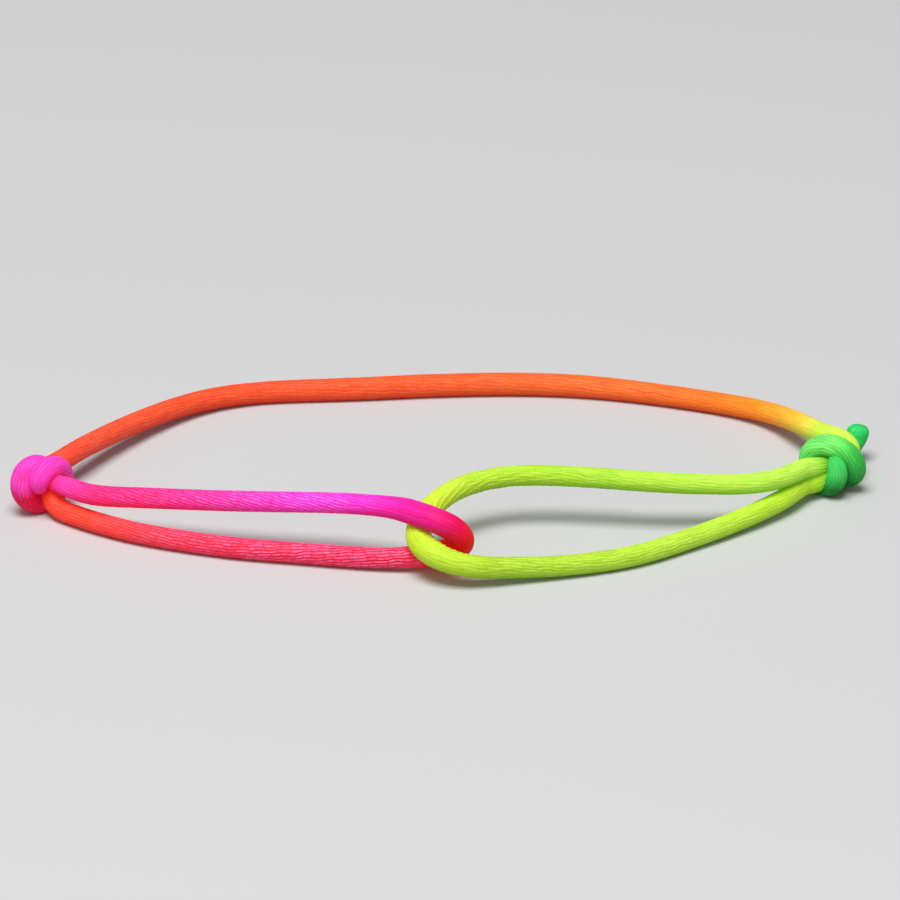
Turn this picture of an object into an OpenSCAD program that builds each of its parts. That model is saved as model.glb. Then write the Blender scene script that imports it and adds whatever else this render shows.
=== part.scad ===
// Sliding knot bracelet, lying on a table. It is one satin cord. Each end is tied
// round the standing part in an overhand knot, which leaves a loop at each side,
// and the two loops are linked at the front. Z = 0 is the table.

/* [Cord] */
// Diameter of the satin cord
cord_d = 2; // [1.6:0.1:2.6]
// Thickness of a wrap of a knot, as a share of the cord's diameter
wrap = 0.92; // [0.8:0.02:0.94]
// Thickness of the cord squeezed inside a knot, as a share of its diameter
core = 0.42; // [0.34:0.02:0.44]

/* [Bracelet] */
// Length over the two knots
bracelet_l = 80; // [76:1:100]
// Width from the front of the linked loops to the back of the cord
bracelet_w = 44; // [41:1:57]

/* [Link of the two loops] */
// Place of the link, left to right
link_x = 0; // [-4:0.5:4]
// Height of the middle of the link above the table
link_z = 3.4; // [3.3:0.1:4]

/* [Knots] */
// Place of the pink knot, front to back
pink_knot_y = -5; // [-7:0.1:-3]
// Direction in which the pair of strands enters the pink knot, in degrees
pink_knot_turn = 142; // [136:1:148]
// Place of the green knot, front to back
green_knot_y = -0.6; // [-3:0.1:1]
// Direction in which the pair of strands enters the green knot, in degrees
green_knot_turn = 38; // [32:1:44]

/* [Hidden] */

sides = 8;
// Middle of a knot: how far in from the end of the bracelet and how high, so that
// the lowest wrap rests on the table
knot_in = 1.6 * cord_d;
knot_z = 1.4 * cord_d;
pink_at = [-bracelet_l / 2 + knot_in, pink_knot_y, knot_z];
green_at = [bracelet_l / 2 - knot_in, green_knot_y, knot_z];
link_at = [link_x, -bracelet_w / 2 + 2.1 * cord_d, link_z];

// Free stretches of the cord. Columns: place along half the length, place across
// half the width between the middles of the cord, height in cord diameters.
BACK_SPAN = [
    [-0.840, 0.12, 1.35], [-0.795, 0.27, 1.15], [-0.750, 0.405, 1.00], [-0.663, 0.63, 0.75],
    [-0.563, 0.81, 0.60], [-0.450, 0.905, 0.50], [-0.325, 0.93, 0.50], [-0.188, 0.945, 0.50],
    [-0.050, 0.98, 0.50], [0.100, 1.00, 0.50], [0.250, 1.00, 0.50], [0.388, 0.965, 0.50],
    [0.525, 0.89, 0.50], [0.675, 0.79, 0.50], [0.770, 0.68, 0.65], [0.820, 0.555, 0.90],
    [0.855, 0.415, 1.25]
];
PINK_UPPER = [
    [-0.815, -0.40, 1.75], [-0.775, -0.455, 1.80], [-0.675, -0.51, 2.00], [-0.525, -0.58, 2.20],
    [-0.375, -0.635, 2.40], [-0.225, -0.67, 2.55]
];
PINK_LOWER = [
    [-0.163, -0.83, 0.53], [-0.313, -0.77, 0.50], [-0.450, -0.73, 0.50], [-0.588, -0.655, 0.50],
    [-0.688, -0.585, 0.53], [-0.775, -0.505, 0.60], [-0.820, -0.435, 0.65]
];
LIME_UPPER = [
    [0.808, -0.23, 1.75], [0.743, -0.345, 1.88], [0.650, -0.405, 2.10], [0.510, -0.42, 2.30],
    [0.375, -0.39, 2.40], [0.235, -0.365, 2.45], [0.143, -0.38, 2.45]
];
LIME_LOWER = [
    [0.100, -1.00, 0.90], [0.188, -0.955, 0.70], [0.275, -0.915, 0.55], [0.375, -0.86, 0.50],
    [0.463, -0.79, 0.50], [0.550, -0.67, 0.50], [0.650, -0.535, 0.53], [0.743, -0.40, 0.60],
    [0.808, -0.275, 0.66]
];

// Bends of the two loops where they hold each other, in cord diameters from the
// middle of the link. Columns: right, back, up.
PINK_BEND = [
    [-2.30, 1.15, 1.02], [-1.40, 0.50, 1.16], [-0.75, -0.08, 1.24], [-0.10, -0.46, 1.22],
    [0.50, -0.58, 1.02], [0.98, -0.52, 0.62], [1.22, -0.30, 0.10], [1.12, -0.05, -0.36],
    [0.75, 0.15, -0.68], [0.20, 0.20, -0.88], [-0.45, 0.15, -0.98], [-1.30, 0.05, -1.08]
];
LIME_BEND = [
    [1.15, 4.00, 0.72], [0.30, 3.15, 0.58], [-0.40, 2.15, 0.42], [-0.80, 1.10, 0.24],
    [-1.00, 0.20, 0.08], [-0.90, -0.50, -0.08], [-0.52, -1.08, -0.24], [0.05, -1.46, -0.42],
    [0.85, -1.68, -0.60]
];

// Working cord of each knot, seen by someone who looks along the strands that
// enter it. Columns: turn in degrees counter-clockwise from the right, distance
// from the knot's middle line, way along it, and thickness, in cord diameters.
PINK_ENTRY = [
    [90, 0.44, -1.95, 1], [90, 0.44, -1.60, 1], [90, 0.44, -1.30, 0.98], [105, 0.33, -0.90, 0.76],
    [150, 0.28, -0.45, 0.50], [165, 0.28, 0, core], [160, 0.28, 0.35, core], [140, 0.36, 0.58, core],
    [118, 0.56, 0.64, core]
];
PINK_WRAPS = [
    [72, 0.62, 0.60, 0.56], [90, 0.72, 0.66, 0.74], [110, 0.81, 0.68, 0.86],
    [130, 0.88, 0.62, wrap], [150, 0.94, 0.52, wrap], [180, 0.97, 0.38, wrap], [210, 0.97, 0.24, wrap],
    [240, 0.97, 0.08, wrap], [270, 0.98, -0.10, wrap], [300, 1.00, -0.24, wrap], [335, 1.06, -0.38, wrap],
    [370, 1.10, -0.48, wrap], [405, 1.06, -0.54, wrap], [440, 1.00, -0.58, wrap], [475, 0.97, -0.60, wrap],
    [500, 0.94, -0.58, wrap], [528, 0.82, -0.53, 0.84], [552, 0.58, -0.46, 0.62], [574, 0.34, -0.30, 0.42]
];
GREEN_ENTRY = [
    [90, 0.44, -1.95, 1], [90, 0.44, -1.60, 1], [90, 0.44, -1.30, 0.98], [80, 0.34, -0.90, 0.72],
    [40, 0.28, -0.45, 0.50], [25, 0.28, 0, core], [15, 0.28, 0.35, core], [-10, 0.40, 0.58, core],
    [-40, 0.62, 0.64, core]
];
GREEN_WRAPS = [
    [-82, 0.66, 0.62, 0.56], [-64, 0.74, 0.66, 0.74], [-44, 0.80, 0.68, 0.86], [-24, 0.85, 0.66, wrap],
    [-2, 0.88, 0.59, wrap], [22, 0.88, 0.46, wrap], [48, 0.88, 0.29, wrap], [78, 0.88, 0.10, wrap],
    [110, 0.92, -0.12, wrap], [142, 1.06, -0.38, wrap], [176, 1.18, -0.57, wrap], [215, 1.09, -0.64, wrap],
    [250, 1.02, -0.63, wrap], [285, 1.00, -0.59, wrap], [315, 0.97, -0.53, wrap], [342, 0.93, -0.49, wrap],
    [366, 0.82, -0.45, 0.84], [389, 0.59, -0.41, 0.62], [412, 0.34, -0.30, 0.42]
];

// Cut ends and the standing cord at each knot. Columns: way along the knot's
// middle line, right, up, and thickness, in cord diameters.
PINK_TAIL = [
    [0.20, -0.15, -0.10, core], [0.50, -0.35, -0.20, 0.60], [0.85, -0.50, -0.28, 0.85],
    [1.25, -0.54, -0.30, 0.88], [1.45, -0.55, -0.30, 0.60]
];
GREEN_TAIL = [
    [0.10, 0.15, 0.20, core], [0.35, 0, 0.44, 0.50], [0.50, -0.40, 0.58, 0.66], [0.56, -0.92, 0.46, 0.82],
    [0.58, -1.32, -0.02, 0.88], [0.86, -1.62, -0.55, 0.90], [1.50, -1.75, -0.88, 0.90], [2.20, -1.80, -0.84, 0.90],
    [2.80, -1.80, -0.52, 0.90], [3.12, -1.80, -0.10, 0.88], [3.20, -1.80, 0.10, 0.60]
];
PINK_STANDING = [
    [-1.95, 0, -0.64, 1], [-1.60, 0, -0.64, 1], [-1.36, 0, -0.64, 0.80], [-1.06, 0.04, -0.40, 0.44],
    [-0.70, 0.14, -0.22, 0.38], [-0.20, 0.22, -0.13, 0.38], [0.30, 0.23, -0.13, 0.38],
    [0.65, 0.24, -0.15, 0.42], [1.00, 0.28, -0.16, 0.66], [1.42, 0.48, -0.14, 0.94],
    [1.60, 0.88, -0.08, 1], [1.45, 1.38, -0.04, 1], [1.15, 1.88, 0.02, 1], [0.90, 2.40, 0.06, 1]
];
GREEN_STANDING = [
    [-1.95, 0, -0.64, 1], [-1.60, 0, -0.64, 1], [-1.36, 0, -0.64, 0.78], [-1.08, -0.03, -0.38, 0.42],
    [-0.75, -0.14, -0.20, 0.38], [-0.25, -0.23, -0.15, 0.38], [0.25, -0.26, -0.15, 0.38],
    [0.60, -0.30, -0.12, 0.40], [1.00, -0.34, -0.08, 0.66], [1.42, -0.45, 0.02, 0.94],
    [1.62, -0.85, 0.12, 1], [1.60, -1.35, 0.26, 1], [1.48, -1.95, 0.22, 1], [1.62, -3.00, 0.02, 1]
];

// Places of the rows above, each as [x, y, z, diameter]
function span(rows) = [
    for (r = rows) [r[0] * bracelet_l / 2, r[1] * (bracelet_w - cord_d) / 2, r[2] * cord_d, cord_d]
];
function at_link(rows) = [
    for (r = rows) concat(link_at + cord_d * r, [cord_d])
];
function beside(at, turn, rows) = [
    for (r = rows) concat(at + cord_d * (
        r[0] * [cos(turn), sin(turn), 0] + r[1] * [sin(turn), -cos(turn), 0] + r[2] * [0, 0, 1]
    ), [cord_d * r[3]])
];
function round_knot(at, turn, rows) = beside(at, turn, [
    for (r = rows) [r[2], r[1] * cos(r[0]), r[1] * sin(r[0]), r[3]]
]);
function from(rows, first) = [for (i = [first : len(rows) - 1]) rows[i]];
function upto(rows, last) = [for (i = [0 : last]) rows[i]];
function backwards(rows) = [for (i = [len(rows) - 1 : -1 : 0]) rows[i]];

// Smooth curve near a route's points, and its direction. t runs from 0 to 1
// between the weights of four points in a row.
function smooth(p, i, t) = (
    (1 - t) ^ 3 * p[i] + (3 * t ^ 3 - 6 * t ^ 2 + 4) * p[i + 1]
    + (-3 * t ^ 3 + 3 * t ^ 2 + 3 * t + 1) * p[i + 2] + t ^ 3 * p[i + 3]
) / 6;
function heading(p, i, t) = (
    -(1 - t) ^ 2 * p[i] + (3 * t ^ 2 - 4 * t) * p[i + 1]
    + (-3 * t ^ 2 + 2 * t + 1) * p[i + 2] + t ^ 2 * p[i + 3]
) / 2;
function xyz(p) = [p[0], p[1], p[2]];
function unit(v) = v / norm(v);

// Cord along a route: a ring of corners square to the curve at each of its points.
// The first ring stands level with the upright direction, and each next one is
// the last one laid over on to the new direction, so the rings don't twist.
module cord(points, upright) {
    last = len(points) - 1;
    p = concat([2 * points[0] - points[1]], points, [2 * points[last] - points[last - 1]]);
    centre = [for (i = [0 : last]) smooth(p, min(i, last - 1), i < last ? 0 : 1)];
    along = [for (i = [0 : last]) unit(xyz(heading(p, min(i, last - 1), i < last ? 0 : 1)))];
    side = [
        for (
            i = 0, s = unit(cross(upright, along[0]));
            i <= last;
            i = i + 1, s = i > last ? s : unit(s - (s * along[i]) * along[i])
        ) s
    ];
    rings = [
        for (i = [0 : last])
            for (k = [0 : sides - 1])
                let(a = 360 * (k + 0.5) / sides)
                xyz(centre[i]) + centre[i][3] / 2 * (cos(a) * side[i] + sin(a) * cross(along[i], side[i]))
    ];
    walls = [
        for (i = [0 : last - 1])
            for (k = [0 : sides - 1])
                let(a = i * sides + k, b = i * sides + (k + 1) % sides)
                each [[a, a + sides, b + sides], [a, b + sides, b]]
    ];
    start = [for (k = [0 : sides - 1]) k];
    finish = [for (k = [sides - 1 : -1 : 0]) last * sides + k];
    polyhedron(rings, concat([start, finish], walls));
}

module back_cord() {
    color("orangered")
    cord(concat(
        from(beside(pink_at, pink_knot_turn, PINK_STANDING), 1),
        span(BACK_SPAN),
        backwards(from(beside(green_at, green_knot_turn, GREEN_STANDING), 1))
    ), [0, 0, 1]);
}

module pink_loop() {
    color("deeppink")
    cord(concat(
        backwards(upto(round_knot(pink_at, pink_knot_turn, PINK_ENTRY), 1)),
        span(PINK_UPPER),
        at_link(PINK_BEND),
        span(PINK_LOWER),
        upto(beside(pink_at, pink_knot_turn, PINK_STANDING), 1)
    ), [0, 0, 1]);
}

module lime_loop() {
    color("yellowgreen")
    cord(concat(
        backwards(upto(round_knot(green_at, green_knot_turn, GREEN_ENTRY), 1)),
        span(LIME_UPPER),
        at_link(LIME_BEND),
        span(LIME_LOWER),
        upto(beside(green_at, green_knot_turn, GREEN_STANDING), 1)
    ), [0, 0, 1]);
}

module knot(at, turn, entry, wraps, tail) {
    cord(from(round_knot(at, turn, entry), 1), [0, 0, 1]);
    cord(round_knot(at, turn, wraps), [cos(turn), sin(turn), 0]);
    cord(beside(at, turn, tail), [0, 0, 1]);
}

module pink_knot() {
    color("hotpink")
    knot(pink_at, pink_knot_turn, PINK_ENTRY, PINK_WRAPS, PINK_TAIL);
}

module green_knot() {
    color("limegreen")
    knot(green_at, green_knot_turn, GREEN_ENTRY, GREEN_WRAPS, GREEN_TAIL);
}

back_cord();
pink_loop();
pink_knot();
lime_loop();
green_knot();
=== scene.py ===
import math
from functools import partial

import bpy
import numpy as np
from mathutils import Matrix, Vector


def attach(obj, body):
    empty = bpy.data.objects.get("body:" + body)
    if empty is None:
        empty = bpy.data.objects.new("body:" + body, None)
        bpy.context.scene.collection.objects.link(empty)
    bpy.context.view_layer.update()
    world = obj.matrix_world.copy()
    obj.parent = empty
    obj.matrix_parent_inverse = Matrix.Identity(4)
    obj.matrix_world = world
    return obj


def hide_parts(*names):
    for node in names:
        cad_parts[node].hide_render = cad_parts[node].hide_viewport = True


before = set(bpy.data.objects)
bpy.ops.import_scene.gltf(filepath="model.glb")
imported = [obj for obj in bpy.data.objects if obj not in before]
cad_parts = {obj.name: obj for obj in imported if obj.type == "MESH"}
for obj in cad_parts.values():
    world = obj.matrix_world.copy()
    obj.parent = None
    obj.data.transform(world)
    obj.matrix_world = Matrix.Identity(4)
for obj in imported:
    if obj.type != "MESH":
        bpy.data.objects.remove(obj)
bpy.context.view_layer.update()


# Pink loop
# The left loop of the bracelet: satin cord of 2 mm, braided from bright yarn over a
# soft core, and dyed from magenta to red. It leaves the pink knot on top, bends
# round the lime loop at the front and comes back along the table.
CORD = 0.002
HALF_LENGTH = 0.040
HALF_WIDTH = 0.021
LINK = np.array([0.0, -0.0178, 0.0034])
PINK_KNOT = np.array([-0.0368, -0.0050, 0.0028])
PINK_TURN = math.radians(142)


def on_table(rows):
    """Rows of place along half the length, place across half the width and height in
    cord diameters, as points."""
    return np.array(rows, float) * [HALF_LENGTH, HALF_WIDTH, CORD]


def at_link(rows):
    """Rows of right, back and up from the middle of the link, in cord diameters, as
    points."""
    return LINK + CORD * np.array(rows, float)


def knot_axes(turn):
    """Directions along a knot's middle line, to the right of it and up, for the line's
    turn on the table."""
    along = [math.cos(turn), math.sin(turn), 0]
    right = [math.sin(turn), -math.cos(turn), 0]
    return np.array([along, right, [0, 0, 1]])


def at_knot(middle, turn, rows):
    """Rows of way along the knot's middle line, right and up, in cord diameters, as
    points: the middle plus each number times its own direction."""
    return middle + CORD * np.array(rows, float) @ knot_axes(turn)


SPAN_POINTS = 40


def smooth_route(rows, step):
    """Points about every step along the uniform cubic B-spline of the rows, and its
    length. The end rows are mirrored, so that the curve starts and ends on them. A
    point of the curve is the sum of four rows with weights (1-t)^3, 3t^3-6t^2+4,
    -3t^3+3t^2+3t+1 and t^3 over 6. The points are spread evenly by interpolation on
    the length, and so are the rows' further columns."""
    p = np.vstack([2 * rows[0] - rows[1], rows, 2 * rows[-1] - rows[-2]])
    t = np.linspace(0, 1, SPAN_POINTS + 1)[:-1, None]
    weights = np.hstack([
        (1 - t) ** 3, 3 * t**3 - 6 * t**2 + 4, -3 * t**3 + 3 * t**2 + 3 * t + 1, t**3
    ]) / 6
    spans = np.stack([p[i : len(p) - 3 + i] for i in range(4)], axis=1)
    curve = np.einsum("tw,swc->stc", weights, spans).reshape(-1, p.shape[1])
    curve = np.vstack([curve, rows[-1]])
    reach = np.linalg.norm(np.diff(curve[:, :3], axis=0), axis=1)
    way = np.concatenate([[0], np.cumsum(reach)])
    length = way[-1]
    count = max(int(round(length / step)), 2)
    even = np.linspace(0, length, count + 1)
    return np.stack([np.interp(even, way, column) for column in curve.T], axis=1), length


# The braid has rows of yarn side by side round the cord. Each row is a line of floats of
# one length, shifted from row to row and swaying slowly to and fro along the cord.
ROWS_ROUND = 20
COLUMNS_PER_ROW = 5
COLUMNS = ROWS_ROUND * COLUMNS_PER_ROW
RINGS_PER_FLOAT = 8
FLOAT_LENGTH = 0.00096
ROW_SHIFT = 3.7
ROW_TURN = 2.4
SWAY_LENGTH = 0.0041
SWAY = 0.3
SWAY_SHIFT = 0.618
END_DIP = 0.3


def braid_height(way):
    """Height of the braid from 0 to 1, for each distance of way and each column round
    the cord. It is sin(pi b) for b from 0 to 1 across a yarn, times 1 less the end dip
    times |2f - 1|^3 for f from 0 to 1 along its float. f is the distance over the
    float's length, plus the row shift times the sine of the row times the row turn,
    plus a sway that is a slow sine of the distance with a phase for each row."""
    yarn = np.arange(COLUMNS) / COLUMNS_PER_ROW
    row = np.floor(yarn)
    across = np.sin(np.pi * (yarn % 1))
    sway = SWAY * np.sin(2 * np.pi * (way[:, None] / SWAY_LENGTH + SWAY_SHIFT * row))
    floats = (way[:, None] / FLOAT_LENGTH + ROW_SHIFT * np.sin(ROW_TURN * row) + sway) % 1
    return across * (1 - END_DIP * np.abs(2 * floats - 1) ** 3)


# The wander turns the yarns by up to this many radians a wave, and lumps are this high
# where the bunch is 1. Each wave is given by its length along the cord and how many go
# round it, negative where they lean the other way. A bend of this radius is a tight one.
WANDER = 0.035
WANDER_WAVES = ((0.0033, 3), (0.0019, -2))
LUMP = 0.00005
LUMP_WAVES = ((0.0010, 5), (0.0016, -7))
TIGHT_BEND = 0.004


def braid_surface(centre, way, radius, lean, bunch, groove, reference):
    """Rings of points of the braid. The point at angle a and distance s is the route's
    point plus the reach times the direction at a, which is turned further by the
    wander and by the sum of tan(lean) over the radius. The angle is counted from the
    side, the reference direction crossed with the heading. The wander is the sum of two
    sines of s and of whole multiples of a. The reach is the radius, less the groove
    times 1 - h for the braid's height h, plus the lump times the bunch times the product
    of two such sines, which is full inside a tight bend, half on a straight and none
    outside a tight bend."""
    heading = np.gradient(centre, axis=0)
    heading /= np.linalg.norm(heading, axis=1)[:, None]
    side = np.cross(np.array(reference, float), heading)
    side /= np.linalg.norm(side, axis=1)[:, None]
    over = np.cross(heading, side)
    rings, length = len(way), way[-1]
    around = 2 * np.pi * (np.arange(COLUMNS) / COLUMNS)[None, :]
    along = 2 * np.pi * way[:, None]

    def wave(wave_length, count):
        return np.sin(along / wave_length + count * around)

    wander = wave(*WANDER_WAVES[0]) + wave(*WANDER_WAVES[1])
    twist = np.cumsum(np.tan(np.radians(lean)) / radius) * length / rings
    angle = around + twist[:, None] + WANDER * wander
    outward = np.cos(angle)[..., None] * side[:, None] + np.sin(angle)[..., None] * over[:, None]
    bend = np.gradient(heading, length / rings, axis=0)
    inside = np.clip(TIGHT_BEND * np.einsum("rci,ri->rc", outward, bend), -1, 1)
    lumps = wave(*LUMP_WAVES[0]) * wave(*LUMP_WAVES[1]) * ((1 + inside) / 2)
    valleys = groove[:, None] * (1 - braid_height(way))
    reach = radius[:, None] - valleys + LUMP * bunch[:, None] * lumps
    return centre[:, None] + reach[..., None] * outward


def closed_tube(name, points, ends, share):
    """Mesh of quads between the rings of points, closed by triangles to the two ends.
    Its map called cord gives u, the share of the length, and v, the share of the way
    round. The corners go round so that the faces point outwards."""
    rings = len(points)
    i, k = np.meshgrid(np.arange(rings - 1), np.arange(COLUMNS), indexing="ij")
    n = (k + 1) % COLUMNS
    ring, following = i * COLUMNS, (i + 1) * COLUMNS
    quads = np.stack([ring + k, ring + n, following + n, following + k], axis=-1)
    quads_u = np.stack([share[i], share[i], share[i + 1], share[i + 1]], axis=-1)
    quads_v = np.stack([k, k + 1, k + 1, k], axis=-1) / COLUMNS

    k = np.arange(COLUMNS)
    n = (k + 1) % COLUMNS
    last_ring, pole = (rings - 1) * COLUMNS, rings * COLUMNS
    foot = np.stack([np.full(COLUMNS, pole), n, k], axis=-1)
    foot_v = np.stack([k + 0.5, k + 1, k], axis=-1) / COLUMNS
    head = np.stack([np.full(COLUMNS, pole + 1), last_ring + k, last_ring + n], axis=-1)
    head_v = np.stack([k + 0.5, k, k + 1], axis=-1) / COLUMNS

    vertices = np.vstack([points.reshape(-1, 3), ends])
    corners = np.concatenate([quads.ravel(), foot.ravel(), head.ravel()])
    sizes = np.concatenate([np.full(i.size, 4), np.full(2 * COLUMNS, 3)])
    u = np.concatenate([quads_u.ravel(), np.zeros(foot.size), np.ones(head.size)])
    v = np.concatenate([quads_v.ravel(), foot_v.ravel(), head_v.ravel()])
    mesh = bpy.data.meshes.new(name)
    mesh.vertices.add(len(vertices))
    mesh.vertices.foreach_set("co", vertices.ravel())
    mesh.loops.add(len(corners))
    mesh.loops.foreach_set("vertex_index", corners)
    mesh.polygons.add(len(sizes))
    mesh.polygons.foreach_set("loop_start", np.concatenate([[0], np.cumsum(sizes)[:-1]]))
    mesh.update(calc_edges=True)
    mesh.polygons.foreach_set("use_smooth", np.ones(len(sizes), bool))
    uv = mesh.uv_layers.new(name="cord")
    uv.data.foreach_set("uv", np.stack([u, v], axis=-1).ravel())
    return mesh


GROOVE = 0.00005
BUNCH = 0.3
# Below a given height, painted shade fades in over this depth.
PAINTED_SHADE_DEPTH = 0.8 * CORD


def braided_cord(name, rows, thickness, reference, lean, groove=GROOVE, bunch=BUNCH, painted_shade_top=0.0):
    """A braided cord along the route of the rows, its route as points, and its length.
    Thickness is in cord diameters, lean in degrees and groove in metres. Each of these
    and the bunch is one number, or one for each row. The attribute called under, the mask
    of painted shade on the side towards the table, is the depth below the route over the
    radius, or the depth below the given height of painted shade over the painted shade
    depth where that is more."""
    each = np.full(len(rows), 1.0)
    extra = np.array([each * thickness * CORD, each * lean, each * bunch, each * groove]).T
    line, length = smooth_route(np.hstack([rows, extra]), FLOAT_LENGTH / RINGS_PER_FLOAT)
    centre, radius = line[:, :3], line[:, 3] / 2
    lean, bunch, groove = line[:, 4:].T
    way = np.linspace(0, length, len(centre))
    points = braid_surface(centre, way, radius, lean, bunch, groove, reference)
    mesh = closed_tube(name, points, centre[[0, -1]], way / length)
    # Mask of painted shade: the underside of the cord, and on the knots all below a given height, is
    # blended towards the shade colour.
    under = (centre[:, None, 2] - points[..., 2]) / radius[:, None]
    under = np.maximum(under, (painted_shade_top - points[..., 2]) / PAINTED_SHADE_DEPTH)
    values = np.concatenate([under.ravel(), [0, 0]])
    mesh.attributes.new("under", "FLOAT", "POINT").data.foreach_set("value", values)
    mesh.validate()
    piece = bpy.data.objects.new(name, mesh)
    bpy.context.scene.collection.objects.link(piece)
    return piece, centre, length


def maths_node(tree, operation, *values):
    """Output of a new maths node in the tree. Each value is a number or a socket."""
    node = tree.nodes.new("ShaderNodeMath")
    node.operation = operation
    for socket, value in zip(node.inputs, values):
        if isinstance(value, (int, float)):
            socket.default_value = value
        else:
            tree.links.new(value, socket)
    return node.outputs[0]


END_SHADE = 0.5
FIBRES_PER_FLOAT = 0.7
FIBRES_PER_YARN = 3.0
FIBRE_DETAIL = 2.0
STREAKS_PER_METRE = 450.0
STREAKS_PER_YARN = 0.8
STREAK_DETAIL = 3.0


def braid_group():
    """Shader group of the braid, with the same yarns and floats as the mesh. Tone is a
    random number from 0 to 1 for each float. Crown is the height, |sin(pi b)| across a
    yarn times 1 less the end shade times |2f - 1|^4 along its float. Streaks is noise
    drawn out along several yarns, and Fibres is finer noise along each yarn."""
    group = bpy.data.node_groups.new("satin braid", "ShaderNodeTree")
    for socket, kind in (("Place", "NodeSocketVector"), ("Length", "NodeSocketFloat")):
        group.interface.new_socket(socket, in_out="INPUT", socket_type=kind)
    for socket in ("Tone", "Crown", "Streaks", "Fibres"):
        group.interface.new_socket(socket, in_out="OUTPUT", socket_type="NodeSocketFloat")
    nodes, links = group.nodes, group.links
    start, end = nodes.new("NodeGroupInput"), nodes.new("NodeGroupOutput")
    maths = partial(maths_node, group)

    def noise(x, y, detail):
        lines = nodes.new("ShaderNodeCombineXYZ")
        links.new(x, lines.inputs["X"])
        links.new(y, lines.inputs["Y"])
        node = nodes.new("ShaderNodeTexNoise")
        node.inputs["Scale"].default_value = 1.0
        node.inputs["Detail"].default_value = detail
        links.new(lines.outputs[0], node.inputs["Vector"])
        return node.outputs["Fac"]

    place = nodes.new("ShaderNodeSeparateXYZ")
    links.new(start.outputs["Place"], place.inputs[0])
    way = maths("MULTIPLY", place.outputs["X"], start.outputs["Length"])
    yarn = maths("MULTIPLY", place.outputs["Y"], ROWS_ROUND)
    row = maths("FLOOR", yarn)
    swing = maths("MULTIPLY_ADD", way, 1 / SWAY_LENGTH, maths("MULTIPLY", row, SWAY_SHIFT))
    sway = maths("MULTIPLY", maths("SINE", maths("MULTIPLY", swing, 2 * math.pi)), SWAY)
    shift = maths("MULTIPLY", maths("SINE", maths("MULTIPLY", row, ROW_TURN)), ROW_SHIFT)
    floats = maths("ADD", maths("MULTIPLY_ADD", way, 1 / FLOAT_LENGTH, shift), sway)

    cell = nodes.new("ShaderNodeCombineXYZ")
    links.new(maths("FLOOR", floats), cell.inputs["X"])
    links.new(row, cell.inputs["Y"])
    chance = nodes.new("ShaderNodeTexWhiteNoise")
    links.new(cell.outputs[0], chance.inputs["Vector"])
    links.new(chance.outputs["Value"], end.inputs["Tone"])

    across = maths("ABSOLUTE", maths("SINE", maths("MULTIPLY", yarn, math.pi)))
    from_middle = maths("SUBTRACT", maths("MULTIPLY", maths("FRACT", floats), 2.0), 1.0)
    dip = maths("MULTIPLY", maths("POWER", maths("ABSOLUTE", from_middle), 4.0), END_SHADE)
    crown = maths("MULTIPLY", across, maths("SUBTRACT", 1.0, dip))
    links.new(crown, end.inputs["Crown"])

    fibre_x = maths("MULTIPLY", floats, FIBRES_PER_FLOAT)
    fibre_y = maths("MULTIPLY", yarn, FIBRES_PER_YARN)
    links.new(noise(fibre_x, fibre_y, FIBRE_DETAIL), end.inputs["Fibres"])
    streak_x = maths("MULTIPLY", way, STREAKS_PER_METRE)
    streak_y = maths("MULTIPLY", yarn, STREAKS_PER_YARN)
    links.new(noise(streak_x, streak_y, STREAK_DETAIL), end.inputs["Streaks"])
    return group


def linear(colour):
    """Linear colour of a display colour of 0 to 255: c / 12.92 below 0.04045, and
    ((c + 0.055) / 1.055) ^ 2.4 above."""
    c = np.array(colour) / 255
    return list(np.where(c < 0.04045, c / 12.92, ((c + 0.055) / 1.055) ** 2.4)) + [1.0]


BRAID = braid_group()
ROUGHNESS = 0.5
SHINE = 0.1
# Strength of the painted glow of the shade colour.
PAINTED_GLOW = 0.18
# Painted shade between the yarns reaches at most this share of the shade colour, times the grain.
GAP_SHADE = 0.5
STREAK_DEPTH = 0.3
STREAK_EDGES = (0.35, 0.6)
# Painted shade on the side towards the table grows from none to full over this range of the under
# mask.
UNDER_EDGES = (-0.2, 0.92)
CROWN_EDGES = (0.3, 1.0)
# Painted highlight: the crowns of the floats are mixed towards the gleam colour by a random share
# between these.
LEAST_GLEAM = 0.08
MOST_GLEAM = 0.34
FIBRE_STRENGTH = 0.25
FIBRE_HEIGHT = 0.00002


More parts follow.
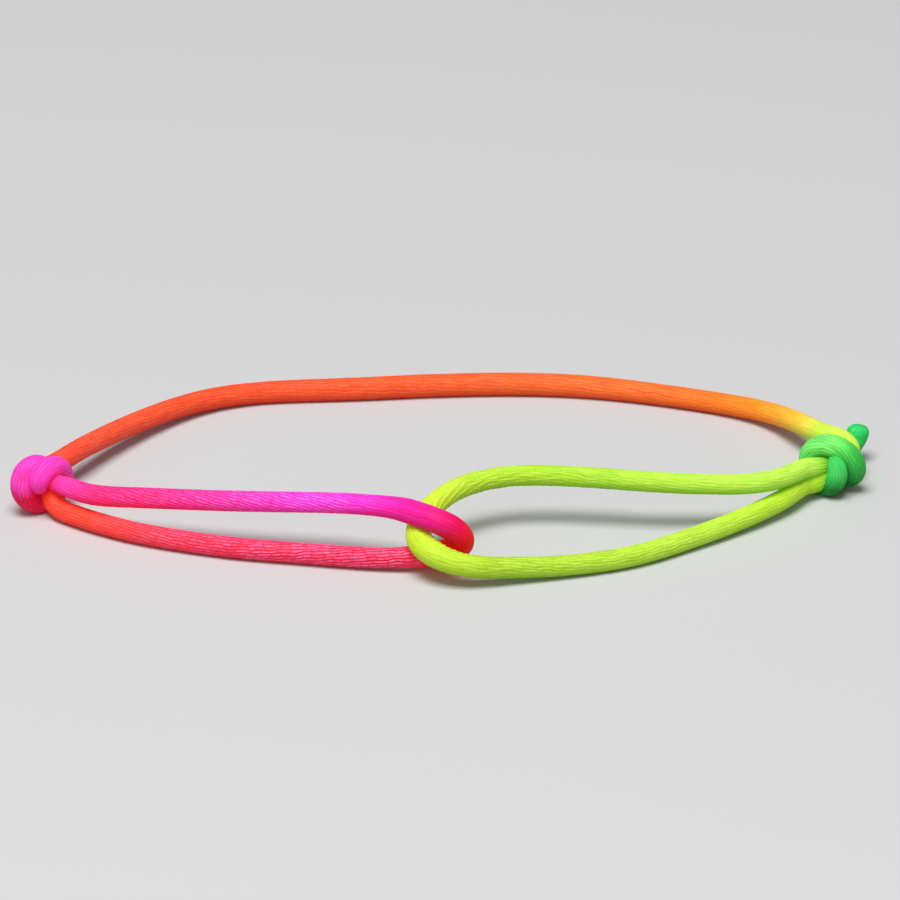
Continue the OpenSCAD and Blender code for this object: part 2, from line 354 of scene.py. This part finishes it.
def dyed_satin(name, dye, shade, gleam, grain, length):
    """Satin cord: the dye by share of the cord's length, with painted shade of the shade
    colour between the yarns and on the side that lies to the table, random streaks
    towards that colour, a painted highlight, a paler gleam, on the crown of each float,
    and a painted glow of the shade colour, which lifts the shaded side. The grain, by share
    of the length, is how much the yarns stand out from each other in painted shade and
    highlight: 0 is not at all."""
    material = bpy.data.materials.new(name)
    material.use_nodes = True
    tree = material.node_tree
    nodes, links = tree.nodes, tree.links
    maths = partial(maths_node, tree)
    surface = nodes["Principled BSDF"]
    surface.inputs["Roughness"].default_value = ROUGHNESS
    surface.inputs["Specular IOR Level"].default_value = SHINE
    surface.inputs["Emission Strength"].default_value = PAINTED_GLOW
    place = nodes.new("ShaderNodeUVMap")
    place.uv_map = "cord"
    parts = nodes.new("ShaderNodeSeparateXYZ")
    links.new(place.outputs[0], parts.inputs[0])

    def ramp(stops):
        node = nodes.new("ShaderNodeValToRGB")
        line = node.color_ramp
        while len(line.elements) < len(stops):
            line.elements.new(1.0)
        for element, (where, value) in zip(line.elements, stops):
            colour = linear(value) if isinstance(value, tuple) else (value, value, value, 1)
            element.position, element.color = where, colour
        links.new(parts.outputs["X"], node.inputs[0])
        return node.outputs["Color"]

    def share(source, least, most, edges=(0.0, 1.0)):
        node = nodes.new("ShaderNodeMapRange")
        node.inputs["From Min"].default_value = edges[0]
        node.inputs["From Max"].default_value = edges[1]
        node.inputs["To Min"].default_value = least
        node.inputs["To Max"].default_value = most
        links.new(source, node.inputs["Value"])
        return node.outputs[0]

    def blend(factor, first, second):
        node = nodes.new("ShaderNodeMix")
        node.data_type = "RGBA"
        sockets = {s.identifier: s for s in node.inputs}
        links.new(factor, sockets["Factor_Float"])
        links.new(first, sockets["A_Color"])
        if isinstance(second, list):
            sockets["B_Color"].default_value = second
        else:
            links.new(second, sockets["B_Color"])
        return next(s for s in node.outputs if s.identifier == "Result_Color")

    braid = nodes.new("ShaderNodeGroup")
    braid.node_tree = BRAID
    braid.inputs["Length"].default_value = length
    links.new(place.outputs[0], braid.inputs["Place"])
    under = nodes.new("ShaderNodeAttribute")
    under.attribute_name = "under"
    # The shade ramp gives the colour of the painted shade and painted glow; the grain ramp gives how
    # much the yarns stand out.
    shade_colour, stand_out = ramp(shade), ramp(grain)
    # Painted shade on the side towards the table, where the under mask is high.
    underside_shade = share(under.outputs["Fac"], 0.0, 1.0, UNDER_EDGES)
    gap_shade = maths("MULTIPLY", share(braid.outputs["Crown"], GAP_SHADE, 0.0), stand_out)
    streaks = share(braid.outputs["Streaks"], STREAK_DEPTH, 0.0, STREAK_EDGES)
    depth = maths("MAXIMUM", maths("ADD", gap_shade, streaks), underside_shade)
    body = blend(depth, ramp(dye), shade_colour)
    # Painted highlight: the crown of each float is mixed towards the paler gleam colour, by a random
    # amount.
    crown = maths("MULTIPLY", share(braid.outputs["Crown"], 0.0, 1.0, CROWN_EDGES), stand_out)
    lit = maths("MULTIPLY", share(braid.outputs["Tone"], LEAST_GLEAM, MOST_GLEAM), crown)
    links.new(blend(lit, body, linear(gleam)), surface.inputs["Base Color"])
    # Painted glow: the shade colour is emitted, lifting the shaded side.
    links.new(shade_colour, surface.inputs["Emission Color"])
    bump = nodes.new("ShaderNodeBump")
    bump.inputs["Strength"].default_value = FIBRE_STRENGTH
    bump.inputs["Distance"].default_value = FIBRE_HEIGHT
    links.new(braid.outputs["Fibres"], bump.inputs["Height"])
    links.new(bump.outputs[0], surface.inputs["Normal"])
    return material


# The route runs from inside the knot along the upper strand, through the link and back
# along the lower strand. In the link the cord is squeezed wide and its yarns lie smooth.
pink_rows = np.vstack([
    at_knot(PINK_KNOT, PINK_TURN, [
        [-0.45, 0.08, 0.20], [-0.80, 0.07, 0.22], [-1.20, 0.05, 0.23], [-1.60, 0.02, 0.25],
        [-1.95, 0.00, 0.26],
    ]),
    on_table([
        [-0.815, -0.40, 1.68], [-0.775, -0.455, 1.78], [-0.675, -0.51, 1.99], [-0.525, -0.58, 2.20],
        [-0.375, -0.635, 2.40], [-0.225, -0.67, 2.55],
    ]),
    at_link([
        [-2.30, 1.15, 1.00], [-1.40, 0.50, 1.10], [-0.75, -0.08, 1.13], [-0.12, -0.48, 1.07],
        [0.46, -0.62, 0.87], [0.92, -0.56, 0.50], [1.12, -0.34, 0.04], [1.03, -0.08, -0.40],
        [0.70, 0.12, -0.70], [0.18, 0.18, -0.88], [-0.45, 0.15, -0.98], [-1.30, 0.05, -1.08],
    ]),
    on_table([
        [-0.163, -0.83, 0.53], [-0.313, -0.77, 0.50], [-0.450, -0.73, 0.50], [-0.588, -0.648, 0.50],
        [-0.688, -0.574, 0.50], [-0.765, -0.490, 0.50], [-0.815, -0.425, 0.50],
    ]),
    at_knot(PINK_KNOT, PINK_TURN, [
        [-1.95, -0.25, -0.90], [-1.60, -0.24, -0.90], [-1.20, -0.17, -0.86], [-0.80, -0.04, -0.74],
        [-0.45, 0.12, -0.58],
    ]),
])
SMOOTH_GROOVE = 0.00002
pink_thickness = np.full(len(pink_rows), 0.97)
pink_thickness[:4] = [0.70, 0.76, 0.86, 0.93]
pink_thickness[12:22] = 1.17
pink_lean = np.zeros(len(pink_rows))
pink_lean[5:11] = 17
pink_lean[23:29] = [-8, -8, -4, 5, 8, 5]
pink_groove = np.full(len(pink_rows), GROOVE)
pink_groove[10:21] = [0.00004, 0.00003] + 7 * [SMOOTH_GROOVE] + [0.00003, 0.00004]
pink_loop, pink_line, pink_length = braided_cord(
    "pink_satin_loop", pink_rows, pink_thickness, [0, 1, 0], pink_lean, pink_groove
)
# The first stop, where the cord leaves the knot, is deeper: painted shade in the crease at the knot.
PINK_DYE_AND_CREASE_SHADE = [
    (0.01, (252, 58, 148)), (0.03, (253, 68, 188)), (0.07, (252, 48, 135)), (0.14, (250, 48, 150)),
    (0.19, (248, 56, 180)), (0.23, (248, 60, 192)), (0.28, (250, 62, 218)), (0.32, (252, 70, 242)),
    (0.37, (250, 58, 220)), (0.41, (252, 42, 186)), (0.455, (238, 26, 146)), (0.476, (226, 14, 96)),
    (0.492, (238, 16, 22)), (0.54, (248, 30, 14)), (0.57, (242, 40, 80)), (0.66, (243, 58, 102)),
    (0.76, (244, 54, 86)), (0.82, (248, 66, 92)), (0.88, (252, 76, 74)), (0.93, (254, 84, 52)),
    (0.98, (255, 84, 44)),
]
# Colours of the painted shade by share of the length. At the tip of the bend, from 0.495 to 0.55, they
# are a bright red: painted light reflected from the lime loop onto the underside of the bend.
PINK_SHADE = [
    (0.03, (215, 15, 75)), (0.08, (228, 6, 24)), (0.14, (222, 8, 28)), (0.20, (215, 10, 70)),
    (0.30, (215, 16, 145)), (0.36, (205, 8, 95)), (0.40, (195, 3, 45)), (0.465, (180, 3, 28)),
    (0.48, (195, 5, 16)), (0.495, (245, 20, 8)), (0.505, (255, 30, 6)), (0.55, (245, 20, 8)),
    (0.58, (205, 4, 14)), (0.85, (215, 14, 12)), (0.98, (230, 34, 8)),
]
PINK_GLEAM = (255, 165, 240)
PINK_GRAIN = [
    (0.06, 0.3), (0.14, 0.7), (0.20, 1.0), (0.33, 1.0), (0.38, 0.3), (0.42, 0.1), (0.52, 0.1),
    (0.57, 1.5), (0.66, 1.3), (0.80, 1.0), (0.90, 0.4),
]
pink_loop.data.materials.append(dyed_satin(
    "pink dyed satin", PINK_DYE_AND_CREASE_SHADE, PINK_SHADE, PINK_GLEAM, PINK_GRAIN, pink_length
))
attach(pink_loop, "root")
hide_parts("pink_loop")


# Lime loop
# The right loop, of the same cord, dyed lime. It leaves the green knot on top, runs
# round under the pink loop at the front and comes back along the table. Its yarns
# bunch up on the inside of the bend.
GREEN_KNOT = np.array([0.0368, -0.0006, 0.0028])
GREEN_TURN = math.radians(38)
lime_rows = np.vstack([
    at_knot(GREEN_KNOT, GREEN_TURN, [
        [-0.45, -0.08, -0.12], [-0.80, -0.08, -0.04], [-1.20, -0.06, 0.06], [-1.60, -0.03, 0.16],
        [-1.95, 0.00, 0.24],
    ]),
    on_table([
        [0.808, -0.23, 1.68], [0.743, -0.345, 1.88], [0.650, -0.405, 2.13], [0.510, -0.42, 2.30],
        [0.375, -0.39, 2.40], [0.235, -0.365, 2.45], [0.143, -0.38, 2.45],
    ]),
    at_link([
        [1.15, 4.00, 0.72], [0.30, 3.15, 0.58], [-0.40, 2.15, 0.42], [-0.80, 1.10, 0.24],
        [-0.95, 0.22, 0.08], [-0.82, -0.46, -0.06], [-0.44, -1.02, -0.20], [0.10, -1.40, -0.38],
        [0.85, -1.66, -0.58],
    ]),
    on_table([
        [0.100, -1.00, 0.90], [0.188, -0.955, 0.70], [0.275, -0.915, 0.55], [0.375, -0.86, 0.50],
        [0.463, -0.79, 0.50], [0.550, -0.67, 0.51], [0.650, -0.53, 0.56], [0.743, -0.385, 0.68],
        [0.808, -0.26, 0.76],
    ]),
    at_knot(GREEN_KNOT, GREEN_TURN, [
        [-1.95, 0.00, -0.60], [-1.60, 0.03, -0.63], [-1.20, 0.08, -0.65], [-0.80, 0.12, -0.60],
        [-0.45, 0.12, -0.52],
    ]),
])
LIME_GROOVE = 0.000035
LIME_BUNCH = 0.6
lime_thickness = np.full(len(lime_rows), 0.96)
lime_thickness[12:23] = [1.0, 1.02, 1.04, 1.08, 1.15, 1.21, 1.22, 1.16, 1.08, 1.02, 0.98]
lime_lean = np.full(len(lime_rows), 3.0)
lime_lean[8:28] = [6, 9, 6, 1, -3, -2, 2, 6, 9, 6, 0, -4, -2, 3, 7, 5, 1, -2, 0, 3]
lime_bunch = np.full(len(lime_rows), LIME_BUNCH)
lime_bunch[9:24] = [0.7, 0.9, 1.2, 1.4, 1.6] + 5 * [1.8] + [1.6, 1.4, 1.1, 0.9, 0.7]
lime_groove = np.full(len(lime_rows), LIME_GROOVE)
lime_groove[12:24] = [0.00003, 0.000025] + 7 * [SMOOTH_GROOVE] + [0.000025, 0.00003, 0.00003]
lime_loop, lime_line, lime_length = braided_cord(
    "lime_satin_loop", lime_rows, lime_thickness, [0, 0, 1], lime_lean, lime_groove, lime_bunch
)
# The stops at each end, where the strands go into the knot, are dark green: painted shade in the
# crease at the knot.
LIME_DYE_AND_CREASE_SHADE = [
    (0.0, (80, 145, 30)), (0.010, (150, 205, 60)), (0.022, (206, 252, 98)), (0.06, (206, 248, 92)),
    (0.16, (198, 241, 82)), (0.25, (184, 231, 62)), (0.31, (182, 228, 54)), (0.39, (196, 232, 64)),
    (0.46, (212, 240, 66)), (0.52, (203, 236, 60)), (0.59, (182, 218, 54)), (0.69, (190, 226, 60)),
    (0.78, (203, 238, 72)), (0.96, (196, 232, 60)), (0.98, (185, 225, 55)), (1.0, (100, 150, 30)),
]
LIME_SHADE = [
    (0.05, (100, 175, 15)), (0.38, (110, 165, 10)), (0.47, (165, 185, 10)),
    (0.60, (105, 155, 10)), (0.95, (120, 180, 15)),
]
LIME_GLEAM = (240, 255, 150)
LIME_GRAIN = [
    (0.05, 0.2), (0.2, 0.35), (0.36, 0.4), (0.42, 0.3), (0.52, 0.3), (0.64, 0.7), (0.80, 0.7),
    (0.95, 0.2),
]
lime_loop.data.materials.append(dyed_satin(
    "lime dyed satin", LIME_DYE_AND_CREASE_SHADE, LIME_SHADE, LIME_GLEAM, LIME_GRAIN, lime_length
))
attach(lime_loop, "root")
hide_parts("lime_loop")


# Back cord
# The plain strand across the back, dyed from red-orange over yellow to lime. Both of
# its ends turn back behind a knot and run through the knot's middle.
back_rows = np.vstack([
    at_knot(PINK_KNOT, PINK_TURN, [
        [-0.25, 0.20, -0.12], [0.20, 0.22, -0.13], [0.60, 0.24, -0.16], [1.00, 0.28, -0.20],
        [1.38, 0.48, -0.24], [1.52, 0.88, -0.28], [1.38, 1.38, -0.28], [1.10, 1.88, -0.20],
        [0.88, 2.40, -0.06],
    ]),
    on_table([
        [-0.840, 0.12, 1.35], [-0.795, 0.27, 1.15], [-0.750, 0.405, 1.00], [-0.663, 0.63, 0.75],
        [-0.563, 0.81, 0.60], [-0.450, 0.905, 0.50], [-0.325, 0.93, 0.50], [-0.188, 0.945, 0.50],
        [-0.050, 0.98, 0.50], [0.100, 1.00, 0.50], [0.250, 1.00, 0.50], [0.388, 0.965, 0.50],
        [0.525, 0.89, 0.50], [0.675, 0.79, 0.50], [0.770, 0.68, 0.65], [0.820, 0.555, 0.90],
        [0.855, 0.415, 1.25],
    ]),
    at_knot(GREEN_KNOT, GREEN_TURN, [
        [1.62, -3.00, 0.02], [1.48, -1.95, 0.22], [1.60, -1.35, 0.26], [1.62, -0.85, 0.12],
        [1.42, -0.45, 0.02], [1.00, -0.34, -0.08], [0.60, -0.30, -0.12], [0.20, -0.26, -0.15],
    ]),
])
BACK_LEAN = 3
BACK_GROOVE = 0.00003
back_thickness = np.full(len(back_rows), 1.02)
back_thickness[14:21] = [1.04, 1.08, 1.12, 1.12, 1.12, 1.12, 1.09]
back_thickness[[0, 1, 2, 3, -3, -2, -1]] = [0.7, 0.84, 0.88, 0.94, 0.95, 0.85, 0.7]
back_cord, back_line, back_length = braided_cord(
    "orange_back_cord", back_rows, back_thickness, [0, 0, 1], BACK_LEAN, BACK_GROOVE
)
BACK_DYE = [
    (0.06, (246, 76, 58)), (0.12, (248, 94, 62)), (0.24, (246, 90, 54)), (0.32, (247, 88, 50)),
    (0.42, (248, 94, 50)), (0.51, (248, 100, 48)), (0.61, (248, 112, 50)), (0.71, (250, 120, 48)),
    (0.77, (250, 126, 42)), (0.80, (252, 136, 42)), (0.83, (252, 154, 46)), (0.865, (252, 180, 56)),
    (0.90, (252, 205, 72)), (0.92, (238, 228, 84)), (0.94, (210, 244, 86)),
]
BACK_SHADE = [
    (0.05, (195, 22, 6)), (0.50, (190, 30, 5)), (0.76, (196, 46, 5)),
    (0.85, (210, 95, 8)), (0.93, (135, 185, 15)),
]
BACK_GLEAM = (255, 200, 150)
BACK_GRAIN = [(0.1, 0.3), (0.7, 0.3), (0.8, 0.15)]
back_cord.data.materials.append(dyed_satin(
    "orange dyed satin", BACK_DYE, BACK_SHADE, BACK_GLEAM, BACK_GRAIN, back_length
))
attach(back_cord, "root")
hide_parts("back_cord")


# Pink knot
# An overhand knot drawn tight round the standing cord: the magenta end goes about once
# and a half round and is cut off short behind it.
def wrapped(middle, turn, rows):
    """Rows of turn in degrees, distance from the middle line and way along it, as points
    of at_knot: right is the distance times the cosine of the turn, up times its sine."""
    degrees, distance, way = np.array(rows, float).T
    angle = np.radians(degrees)
    right, up = distance * np.cos(angle), distance * np.sin(angle)
    return at_knot(middle, turn, np.stack([way, right, up], axis=1))


pink_wraps = [
    [50, 0.55, -0.24], [70, 0.77, -0.10], [90, 0.91, 0.06], [110, 0.96, 0.22], [130, 0.96, 0.34],
    [150, 0.96, 0.40], [180, 0.97, 0.36], [210, 0.96, 0.24], [240, 0.96, 0.08], [270, 0.97, -0.10],
    [300, 0.99, -0.24], [335, 1.05, -0.36], [370, 1.12, -0.45], [405, 1.00, -0.48], [440, 0.88, -0.48],
    [475, 0.88, -0.48], [500, 0.84, -0.48], [520, 0.66, -0.42], [540, 0.42, -0.34], [560, 0.20, -0.24],
]
pink_wraps_thickness = np.full(len(pink_wraps), 1.06)
pink_wraps_thickness[[0, 1, 2, -4, -3, -2, -1]] = [0.8, 0.9, 1.0, 1.0, 0.88, 0.7, 0.5]
along, right = knot_axes(PINK_TURN)[:2]
# Below a height the knot is blended towards its shade colour: painted shade on its lower part.
pink_knot_wraps, _, wraps_length = braided_cord(
    "pink_knot_wraps", wrapped(PINK_KNOT, PINK_TURN, pink_wraps), pink_wraps_thickness, along,
    lean=0, groove=0.00003, painted_shade_top=0.0035,
)
PINK_KNOT_DYE = [(0.0, (250, 70, 205)), (0.5, (252, 74, 222)), (1.0, (252, 68, 205))]
PINK_KNOT_SHADE = [(0.0, (205, 8, 60)), (1.0, (205, 8, 40))]
KNOT_GRAIN = [(0.0, 0.35), (1.0, 0.35)]
pink_knot_wraps.data.materials.append(dyed_satin(
    "pink knot satin", PINK_KNOT_DYE, PINK_KNOT_SHADE, PINK_GLEAM, KNOT_GRAIN, wraps_length
))
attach(pink_knot_wraps, "root")
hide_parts("pink_knot")

pink_end_rows = at_knot(PINK_KNOT, PINK_TURN, [
    [0.10, -0.10, -0.06], [0.35, -0.20, -0.16], [0.60, -0.27, -0.24], [0.80, -0.30, -0.28],
    [0.95, -0.30, -0.28],
])
pink_end_thickness = [0.6, 0.75, 0.85, 0.9, 0.85]
pink_cut_end, _, end_length = braided_cord(
    "pink_cut_end", pink_end_rows, pink_end_thickness, along + right, lean=0
)
pink_cut_end.data.materials.append(dyed_satin(
    "pink end satin", PINK_KNOT_DYE, PINK_KNOT_SHADE, PINK_GLEAM, KNOT_GRAIN, end_length
))
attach(pink_cut_end, "root")
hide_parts("pink_knot")


# Green knot
# The same knot on the other side, in green. Its cut end passes under the cord behind
# the knot and shows past it.
green_wraps = [
    [-130, 0.62, 0.36], [-105, 0.74, 0.50], [-82, 0.80, 0.60], [-62, 0.84, 0.65], [-42, 0.86, 0.67],
    [-22, 0.88, 0.65], [0, 0.89, 0.58], [22, 0.88, 0.46], [48, 0.85, 0.29], [78, 0.82, 0.10],
    [110, 0.86, -0.12], [142, 1.02, -0.37], [176, 1.16, -0.56], [215, 1.09, -0.64], [250, 1.02, -0.63],
    [285, 1.00, -0.59], [315, 0.97, -0.53], [345, 0.90, -0.48], [368, 0.76, -0.40], [390, 0.54, -0.28],
    [412, 0.30, -0.10],
]
green_wraps_thickness = np.full(len(green_wraps), 1.02)
green_wraps_thickness[7:12] = [1.06, 1.1, 1.14, 1.14, 1.08]
green_wraps_thickness[[0, 1, 2, -4, -3, -2, -1]] = [0.7, 0.85, 0.95, 0.98, 0.92, 0.8, 0.6]
along, right = knot_axes(GREEN_TURN)[:2]
# Below a height the knot is blended towards its shade colour: painted shade on its lower part.
green_knot_wraps, _, wraps_length = braided_cord(
    "green_knot_wraps", wrapped(GREEN_KNOT, GREEN_TURN, green_wraps), green_wraps_thickness, along,
    lean=0, groove=0.00004, painted_shade_top=0.0026,
)
GREEN_DYE = [
    (0.0, (45, 190, 75)), (0.20, (58, 192, 70)), (0.28, (64, 198, 76)), (0.33, (105, 235, 94)),
    (0.38, (138, 252, 120)), (0.52, (128, 248, 116)), (0.8, (78, 216, 98)), (1.0, (66, 212, 98)),
]
GREEN_SHADE = [(0.0, (5, 105, 28)), (1.0, (10, 110, 28))]
GREEN_GLEAM = (170, 255, 190)
green_knot_wraps.data.materials.append(dyed_satin(
    "green knot satin", GREEN_DYE, GREEN_SHADE, GREEN_GLEAM, KNOT_GRAIN, wraps_length
))
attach(green_knot_wraps, "root")
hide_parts("green_knot")

green_end_rows = at_knot(GREEN_KNOT, GREEN_TURN, [
    [0.10, 0.15, 0.20], [0.35, 0.00, 0.44], [0.50, -0.40, 0.58], [0.56, -0.92, 0.46],
    [0.58, -1.32, -0.02], [0.86, -1.62, -0.55], [1.50, -1.75, -0.88], [2.20, -1.80, -0.84],
    [2.78, -1.78, -0.46], [3.02, -1.76, 0.00], [3.08, -1.75, 0.22], [3.10, -1.75, 0.34],
])
green_end_thickness = [0.6, 0.7, 0.8, 0.9, 0.94, 0.95, 0.95, 0.97, 1.02, 1.08, 1.04, 0.75]
green_cut_end, _, end_length = braided_cord(
    "green_cut_end", green_end_rows, green_end_thickness, along + right, lean=0
)
GREEN_END_DYE = [(0.0, (110, 225, 80)), (1.0, (50, 222, 112))]
green_cut_end.data.materials.append(dyed_satin(
    "green end satin", GREEN_END_DYE, GREEN_SHADE, GREEN_GLEAM, KNOT_GRAIN, end_length
))
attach(green_cut_end, "root")
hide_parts("green_knot")


# Table, lights and camera
# A plain pale table top, a large soft box overhead with a smaller one in front, and a
# camera at the angle of the photograph.
TABLE_REACH = 3
TABLE_COLOUR = (0.6, 0.6, 0.605, 1)
corners = [(x * TABLE_REACH, y * TABLE_REACH, 0) for x, y in ((-1, -1), (1, -1), (1, 1), (-1, 1))]
table = bpy.data.meshes.new("table_top")
table.from_pydata(corners, [], [(0, 1, 2, 3)])
table_top = bpy.data.objects.new("table_top", table)
bpy.context.scene.collection.objects.link(table_top)
pale = bpy.data.materials.new("pale table")
pale.use_nodes = True
pale_surface = pale.node_tree.nodes["Principled BSDF"]
pale_surface.inputs["Base Color"].default_value = TABLE_COLOUR
pale_surface.inputs["Roughness"].default_value = 0.7
table.materials.append(pale)


def soft_box(name, place, size, power):
    """A square area light at a place, aimed at the middle of the bracelet."""
    light = bpy.data.lights.new(name, "AREA")
    light.shape, light.size, light.energy = "SQUARE", size, power
    holder = bpy.data.objects.new(name, light)
    bpy.context.scene.collection.objects.link(holder)
    holder.location = place
    holder.rotation_euler = (-Vector(place)).to_track_quat("-Z", "Y").to_euler()
    return holder


top_light = soft_box("soft_box_overhead", place=(-0.08, -0.25, 0.85), size=0.5, power=8.4)
front_light = soft_box("soft_box_in_front", place=(-0.25, -0.9, 0.6), size=0.4, power=1.0)
world = bpy.data.worlds.new("studio")
bpy.context.scene.world = world
world.use_nodes = True
sky = world.node_tree.nodes["Background"]
sky.inputs["Color"].default_value = (1, 1, 1, 1)
sky.inputs["Strength"].default_value = 0.2
bpy.context.scene.view_settings.view_transform = "Standard"

LOOKED_AT = Vector((0.0011, 0.0082, 0))
ELEVATION = math.radians(25)
DISTANCE = 0.7
lens = bpy.data.cameras.new("camera")
lens.lens, lens.sensor_width = 296.8, 36
lens.clip_start, lens.clip_end = 0.05, 20
camera = bpy.data.objects.new("camera", lens)
bpy.context.scene.collection.objects.link(camera)
away = Vector((0, -math.cos(ELEVATION), math.sin(ELEVATION)))
camera.location = LOOKED_AT + DISTANCE * away
camera.rotation_euler = (math.radians(90) - ELEVATION, 0, 0)
bpy.context.scene.camera = camera
